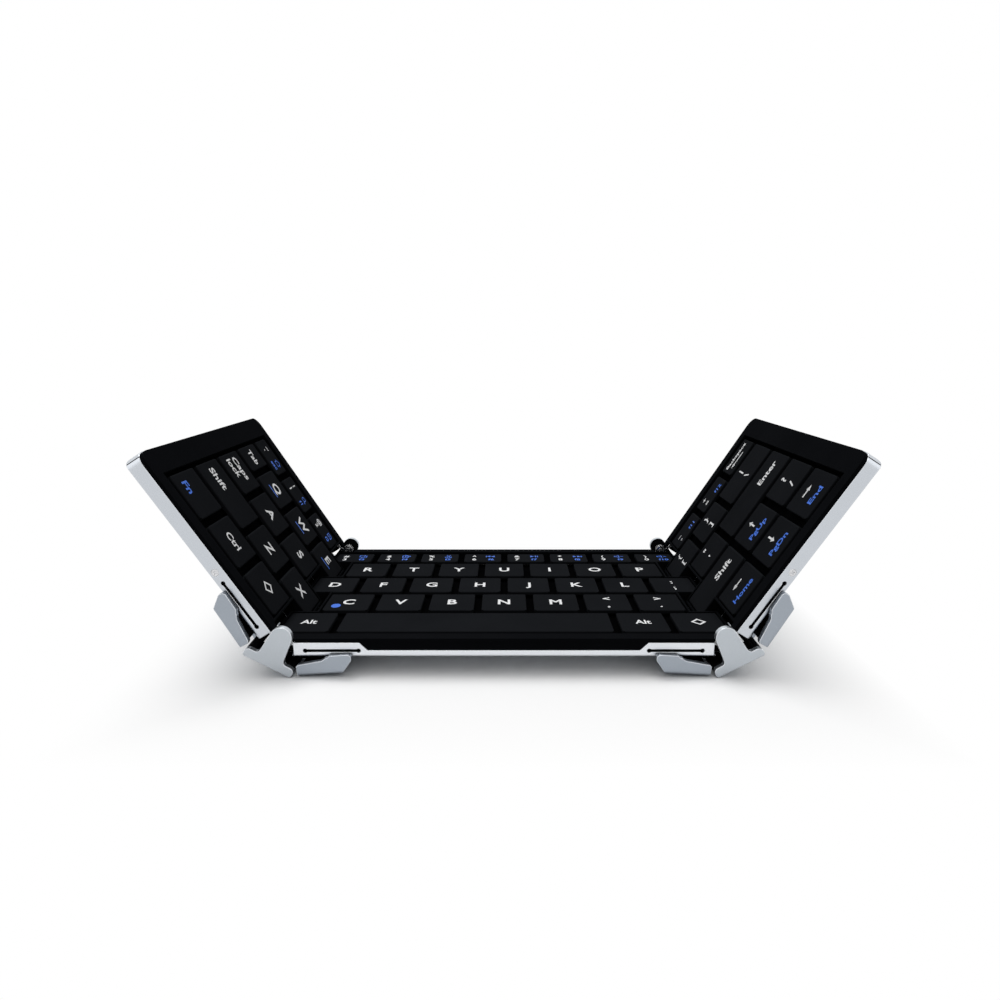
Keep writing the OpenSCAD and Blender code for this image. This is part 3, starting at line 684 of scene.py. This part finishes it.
def nav(way, s, width):
    def draw(w, b, key_w):
        w.arrow(0, u(2.3), u(4.3), way, u(0.6), u(1.8))
        b.text(s, 0, -u(3.0), SMALL, width=width)
    return draw


def backspace(w, b, width):
    w.text("Backspace", 0, u(1.7), u(1.8), width=u(11.5))
    w.arrow(u(-1.2), -u(1.7), u(7.2), "L", u(.6), u(1.9))


def right_word(s, text_w):
    return lambda w, b, width: w.text(s, width / 2 - u(3.0), 0, WORD, "R", width=text_w)


def left_word(s, text_w):
    return lambda w, b, width: w.text(s, -width / 2 + u(2.2), 0, WORD, "L", width=text_w)


def diamond(w, b, width):
    w.path([(0, u(1.9)), (u(1.9), 0), (0, -u(1.9)), (-u(1.9), 0)], u(.6), True)


def fn(w, b, width):
    b.text("Fn", -u(2.5), -u(2.4), WORD, width=u(3.9))


def c_key(w, b, width):
    w.text("C", 0, 0, LETTER)
    rim = []
    for degrees in range(0, 360, 15):
        a = math.radians(degrees)
        rim.append((u(-3.5) + u(1.5) * math.cos(a), u(-3.4) + u(1.7) * math.sin(a)))
    b.add(rim, [tuple(range(len(rim)))])


L = cap_letter
# (node, panel, row from the front, first place in keys, [(width in keys, legend), ...])
LAYOUT = [
    ("keys_grave_to_2", "left", 4, -7, [
        (1, figure("~", "`", icon_home, "esc")), (1, figure("!", "1", icon_lens, "f1")),
        (1, figure("@", "2", icon_sheet, "f2"))]),
    ("key_tab", "left", 3, -7, [(.68, word("Tab", width=u(5.8)))]),
    ("keys_q_to_e", "left", 3, -6.32, [(.94, underlined(c)) for c in "QWE"]),
    ("key_caps_lock", "left", 2, -7, [(1, two("Caps", "lock"))]),
    ("keys_a_s", "left", 2, -6, [(1, L("A")), (1, L("S"))]),
    ("key_left_shift", "left", 1, -7, [(1.5, left_word("Shift", u(7.8)))]),
    ("keys_z_x", "left", 1, -5.5, [(1, L("Z")), (1, L("X"))]),
    ("keys_left_bottom", "left", 0, -7, [(1, fn), (1, word("Ctrl", width=u(6.0))), (1, diamond)]),
    ("keys_3_to_0", "centre", 4, -4, [
        (1, figure("#", "3", icon_copy, "f3")), (1, figure("$", "4", icon_paste, "f4")),
        (1, figure("%", "5", icon_scissors, "f5")), (1, figure("^", "6", icon_back, "f6")),
        (1, figure("&", "7", icon_play, "f7")), (1, figure("*", "8", icon_next, "f8")),
        (1, figure("(", "9", icon_quiet, "f9")), (1, figure(")", "0", icon_loud, "f10"))]),
    ("keys_r_to_p", "centre", 3, -3.5, [(1, L(c)) for c in "RTYUIOP"]),
    ("keys_d_to_semicolon", "centre", 2, -4, [(1, L(c)) for c in "DFGHJKL"] + [(1, pair(":", ";"))]),
    ("keys_c_to_period", "centre", 1, -3.5,
     [(1, c_key)] + [(1, L(c)) for c in "VBNM"] + [(1, pair("<", ",")), (1, pair(">", "."))]),
    ("keys_alt", "centre", 0, -4, [(1, word("Alt", u(2.8), u(4.8)))]),
    ("keys_alt", "centre", 0, 2, [(1, word("Alt", u(2.8), u(4.8))), (1, diamond)]),
    ("keys_minus_equal", "right", 4, 4, [
        (1, figure("_", "-", None, "f11")), (1, figure("+", "=", None, "f12"))]),
    ("key_backspace", "right", 4, 6, [(1, backspace)]),
    ("keys_brackets", "right", 3, 3.5, [(1, pair("{", "[")), (1, pair("}", "]"))]),
    ("key_backslash", "right", 3, 5.5, [(1.5, pair("|", "\\"))]),
    ("key_quote", "right", 2, 4, [(1, pair("\"", "'"))]),
    ("key_enter", "right", 2, 5, [(2, right_word("Enter", u(9.2)))]),
    ("key_slash", "right", 1, 3.5, [(1.5, right_word("Shift", u(8.0)))]),
    ("key_page_up", "right", 1, 5, [(1, nav("U", "PgUp", u(8.0)))]),
    ("key_right_shift", "right", 1, 6, [(1, pair("?", "/"))]),
    ("keys_right_bottom", "right", 0, 4, [
        (1, nav("L", "Home", u(8.8))), (1, nav("D", "PgDn", u(7.9))), (1, nav("R", "End", u(5.9)))]),
]

for number, (node, panel, row, start, keys) in enumerate(LAYOUT):
    white, blue = Ink(), Ink()
    x = start
    for width, draw in keys:
        cx = (x + width / 2) * PITCH
        cy = ROW_Y[row]
        w, b = Ink(), Ink()
        draw(w, b, width * PITCH - GAP)
        white.add([(a + cx, c + cy) for a, c in w.v], w.f)
        blue.add([(a + cx, c + cy) for a, c in b.v], b.f)
        x += width
    matrix = panel_matrix(panel)
    white.mesh("legend_white_%02d" % number, M_WHITE, matrix, node + "_body")
    blue.mesh("legend_blue_%02d" % number, M_BLUE, matrix, node + "_body")

# ---------------------------------------------------------------- rubber domes
SHEET_T = 0.25 * MM
DOME_FROM = 0.02 * MM  # how far above the sheet a point belongs to a dome


def part_of(cad, name, keep_face):
    """A piece with those faces of a CAD node that keep_face accepts."""
    bm = bmesh.new()
    bm.from_mesh(cad.data)
    bmesh.ops.delete(bm, geom=[f for f in bm.faces if not keep_face(f)], context="FACES")
    me = bpy.data.meshes.new(name)
    bm.to_mesh(me)
    bm.free()
    me.materials.append(M_DOME)
    ob = bpy.data.objects.new(name, me)
    scene.collection.objects.link(ob)
    return ob


def split_domes(panel, body):
    """The rubber sheet of a panel as its flat part and a separate dome piece under each key."""
    cad = nodes[panel + "_domes"]
    to_panel = panel_matrix(panel).inverted()
    levels = [(to_panel @ v.co).z for v in cad.data.vertices]
    sheet_top = min(levels) + SHEET_T
    boxes = []
    for j in frame["joints"]:
        if j["type"] == "slide" and j["parent"] == body:
            key = j["child"][:-len("_body")]
            flat = [to_panel @ v.co for v in nodes[key].data.vertices]
            xs, ys = [v.x for v in flat], [v.y for v in flat]
            boxes.append((j, key, min(xs), max(xs), min(ys), max(ys)))

    def top_of(face):
        top = max((to_panel @ v.co for v in face.verts), key=lambda v: v.z)
        return top if top.z > sheet_top + DOME_FROM else None

    def owner(top):
        """The key over a dome: of the nodes whose box holds it, the narrowest."""
        over = [(x1 - x0, key) for _, key, x0, x1, y0, y1 in boxes
                if x0 < top.x < x1 and y0 < top.y < y1]
        return min(over)[1] if over else None

    sheet = part_of(cad, panel + "_sheet", lambda f: top_of(f) is None)
    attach(sheet, body)
    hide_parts(panel + "_domes")
    for j, key, x0, x1, y0, y1 in boxes:
        def under(face):
            top = top_of(face)
            return top is not None and owner(top) == key
        dome = part_of(cad, "dome_" + key, under)
        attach(dome, body)
        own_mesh(dome)


split_domes("centre", "centre")
split_domes("left", "left_wing")
split_domes("right", "right_wing")

# ---------------------------------------------------------------- ribbon cables
RIBBON_W = 10.0 * MM
RIBBON_T = 0.1 * MM
RIBBON_R = 7.45 * MM
RIBBON_IN = 3.9 * MM
RIBBON_OUT = 5.76 * MM
UNDER = BOTTOM + 0.1 * MM
RIBBON_OVER = 2 * MM  # how far the bend runs past the wing's bottom
RIBBON_STEPS = 24


def ribbon(name, side):
    """A black film that leaves the middle panel's bottom, rounds the seam's finger and ends in the wing."""
    zig = PITCH / 4
    lift = 1.0 * MM

    def at(out, down, turn):
        c, k = math.cos(turn), math.sin(turn)
        return (out * c + down * k, down * c - out * k)

    first = math.atan2(zig, UNDER)
    pts = [(-RIBBON_IN, UNDER - lift), (-RIBBON_IN, UNDER),
           (RIBBON_R * math.sin(first) - 0.1 * MM, UNDER)]
    bend = REST + RIBBON_OVER / RIBBON_R
    for i in range(RIBBON_STEPS + 1):
        pts.append(at(0, RIBBON_R, first + bend * i / RIBBON_STEPS))
    pts += [at(RIBBON_OUT, UNDER, REST), at(RIBBON_OUT, UNDER - lift, REST)]
    y0, y1 = ROW_Y[2] - RIBBON_W / 2, ROW_Y[2] + RIBBON_W / 2
    bm = bmesh.new()
    rows = [[bm.verts.new((side * (AXIS_X + out), y, AXIS_Z - down)) for y in (y0, y1)]
            for out, down in pts]
    for a, b in zip(rows, rows[1:]):
        bm.faces.new((a[0], a[1], b[1], b[0]))
    me = bpy.data.meshes.new(name)
    bm.to_mesh(me)
    bm.free()
    me.materials.append(M_FILM)
    ob = bpy.data.objects.new(name, me)
    scene.collection.objects.link(ob)
    solid = ob.modifiers.new("thickness", "SOLIDIFY")
    solid.thickness = RIBBON_T
    solid.offset = 0
    wing = "left_wing" if side < 0 else "right_wing"
    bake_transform(ob)
    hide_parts(wing.split("_")[0] + "_ribbon")


ribbon("ribbon_film_left", -1)
ribbon("ribbon_film_right", 1)

# ---------------------------------------------------------------- floor and light
SHADE_X, SHADE_Y = 0.066, 0.048  # half sizes of the floor that keeps its full shade
FADE = 0.042  # width over which the floor round it turns into the white page


def seen(nt, link):
    """1 for rays that show the background: from the camera, off metal and through glass."""
    path = nt.nodes.new("ShaderNodeLightPath")
    total = path.outputs["Is Camera Ray"]
    for other in ("Is Glossy Ray", "Is Transmission Ray"):
        add = nt.nodes.new("ShaderNodeMath")
        add.operation = "MAXIMUM"
        link(total, add.inputs[0])
        link(path.outputs[other], add.inputs[1])
        total = add.outputs[0]
    return total


def floor_mat():
    """Pale matt floor that keeps the shadow near the object and turns into plain white farther off."""
    m = Mat("pale_floor")
    g = m.noise(3, 2, 0.5)
    shown = seen(m.t, m.link)
    pale = m.mix(m.ramp(g, 0.3, 0.7), (0.50, 0.50, 0.50), (0.52, 0.52, 0.52))
    m.set(Base_Color=m.mix(shown, pale, (0.97, 0.97, 0.97)), Roughness=0.9, Specular_IOR_Level=0.0)
    place = m.new("ShaderNodeSeparateXYZ")
    m.link(m.co, place.inputs[0])
    past_x = m.math("SUBTRACT", m.math("ABSOLUTE", place.outputs["X"], 0), SHADE_X)
    past_y = m.math("SUBTRACT", m.math("ABSOLUTE", place.outputs["Y"], 0), SHADE_Y)
    far = m.ramp(m.math("MAXIMUM", past_x, past_y), 0.0, FADE)
    white = m.new("ShaderNodeEmission")
    blend = m.new("ShaderNodeMixShader")
    m.link(m.math("MULTIPLY", far, shown), blend.inputs[0])
    m.link(m.b.outputs[0], blend.inputs[1])
    m.link(white.outputs[0], blend.inputs[2])
    m.link(blend.outputs[0], m.out.inputs[0])
    return m.m


FLOOR_SIZE = 12
FLOOR_Z = -0.2 * MM
bpy.ops.mesh.primitive_plane_add(size=FLOOR_SIZE, location=(0, 0, FLOOR_Z))
floor = bpy.context.object
floor.name = "floor"
floor.data.materials.append(floor_mat())

world = bpy.data.worlds.new("studio")
scene.world = world
world.use_nodes = True
wt = world.node_tree
for n in list(wt.nodes):
    wt.nodes.remove(n)
world_out = wt.nodes.new("ShaderNodeOutputWorld")
white_page = wt.nodes.new("ShaderNodeBackground")
white_page.inputs[0].default_value = (1, 1, 1, 1)
white_page.inputs[1].default_value = 1.0
sky = wt.nodes.new("ShaderNodeBackground")
sky.inputs[1].default_value = 0.9
direction = wt.nodes.new("ShaderNodeTexCoord")
height = wt.nodes.new("ShaderNodeSeparateXYZ")
wt.links.new(direction.outputs["Generated"], height.inputs[0])
shade = wt.nodes.new("ShaderNodeMapRange")
for key, value in (("From Min", 0.35), ("From Max", 0.95), ("To Min", 0.03), ("To Max", 1.0)):
    shade.inputs[key].default_value = value
wt.links.new(height.outputs["Z"], shade.inputs["Value"])
wt.links.new(shade.outputs[0], sky.inputs[0])
page = wt.nodes.new("ShaderNodeMixShader")
wt.links.new(seen(wt, wt.links.new), page.inputs[0])
wt.links.new(sky.outputs[0], page.inputs[1])
wt.links.new(white_page.outputs[0], page.inputs[2])
wt.links.new(page.outputs[0], world_out.inputs[0])


def area(name, loc, aim, size, power, size_y):
    l = bpy.data.lights.new(name, "AREA")
    l.energy = power
    l.size = size
    l.shape = "RECTANGLE"
    l.size_y = size_y
    o = bpy.data.objects.new(name, l)
    scene.collection.objects.link(o)
    o.location = loc
    d = Vector(aim) - Vector(loc)
    o.rotation_euler = d.to_track_quat("-Z", "Y").to_euler()


area("key_top", (-0.25, 0.35, 1.1), (0, 0, 0.02), 0.7, 7.0, 0.7)
area("front_fill", (0.0, -1.1, 0.45), (0, 0, 0.02), 0.9, 0.5, 0.5)
area("left_side", (-1.0, -0.2, 0.45), (-0.08, 0, 0.02), 0.6, 0.6, 0.6)
area("right_side", (1.0, -0.2, 0.45), (0.08, 0, 0.02), 0.6, 0.6, 0.6)

# ---------------------------------------------------------------- camera
cam = bpy.data.cameras.new("camera")
cam_ob = bpy.data.objects.new("camera", cam)
scene.collection.objects.link(cam_ob)
SENSOR = 36
FOCAL = 0.6912  # focal length in widths of the picture
DOWN = 16.397  # degrees by which the camera looks down
cam.sensor_width = SENSOR
cam.sensor_fit = "HORIZONTAL"
cam.lens = FOCAL * SENSOR
cam.shift_x = -0.0055
cam.shift_y = 0.0466
cam.clip_start = 0.01
cam_ob.location = (0.000464, -0.22329, AXIS_Z + 0.079385)
cam_ob.rotation_euler = (math.radians(90 - DOWN), 0, 0)
scene.camera = cam_ob
scene.view_settings.view_transform = "Standard"
